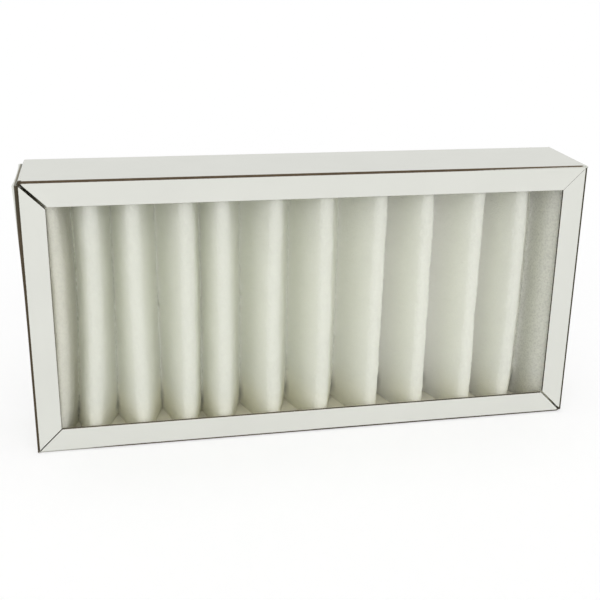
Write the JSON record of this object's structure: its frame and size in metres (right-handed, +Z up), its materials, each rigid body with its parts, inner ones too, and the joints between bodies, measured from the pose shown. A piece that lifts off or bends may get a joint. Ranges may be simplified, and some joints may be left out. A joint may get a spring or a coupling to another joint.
{
  "type": "ventilation air filter",
  "caption": "Flat rectangular air filter: a folded white board frame with mitred flanges holding a pleated sheet of soft white wadding.",
  "frame": {"origin": "under the centre of the bottom wall, on the surface that the filter stands on", "axes": "+X along the width to the right as seen from the front, +Y from the front face to the back, +Z up"},
  "size_m": [0.4476, 0.075, 0.22],
  "materials": {
    "board": "white clay-coated solid board, satin",
    "wadding": "soft white non-woven, matt and fuzzy",
    "adhesive": "milky hot-melt, satin"
  },
  "bodies": {
    "root": {"frame_strip_upper": "board", "frame_strip_lower": "board", "filter_media": "wadding", "glue_bed_bottom": "adhesive", "glue_bed_top": "adhesive", "glue_wedge_left": "adhesive", "glue_wedge_right": "adhesive", "seam_glue_top_left": "adhesive", "seam_glue_bottom_right": "adhesive"}
  },
  "joints": []
}
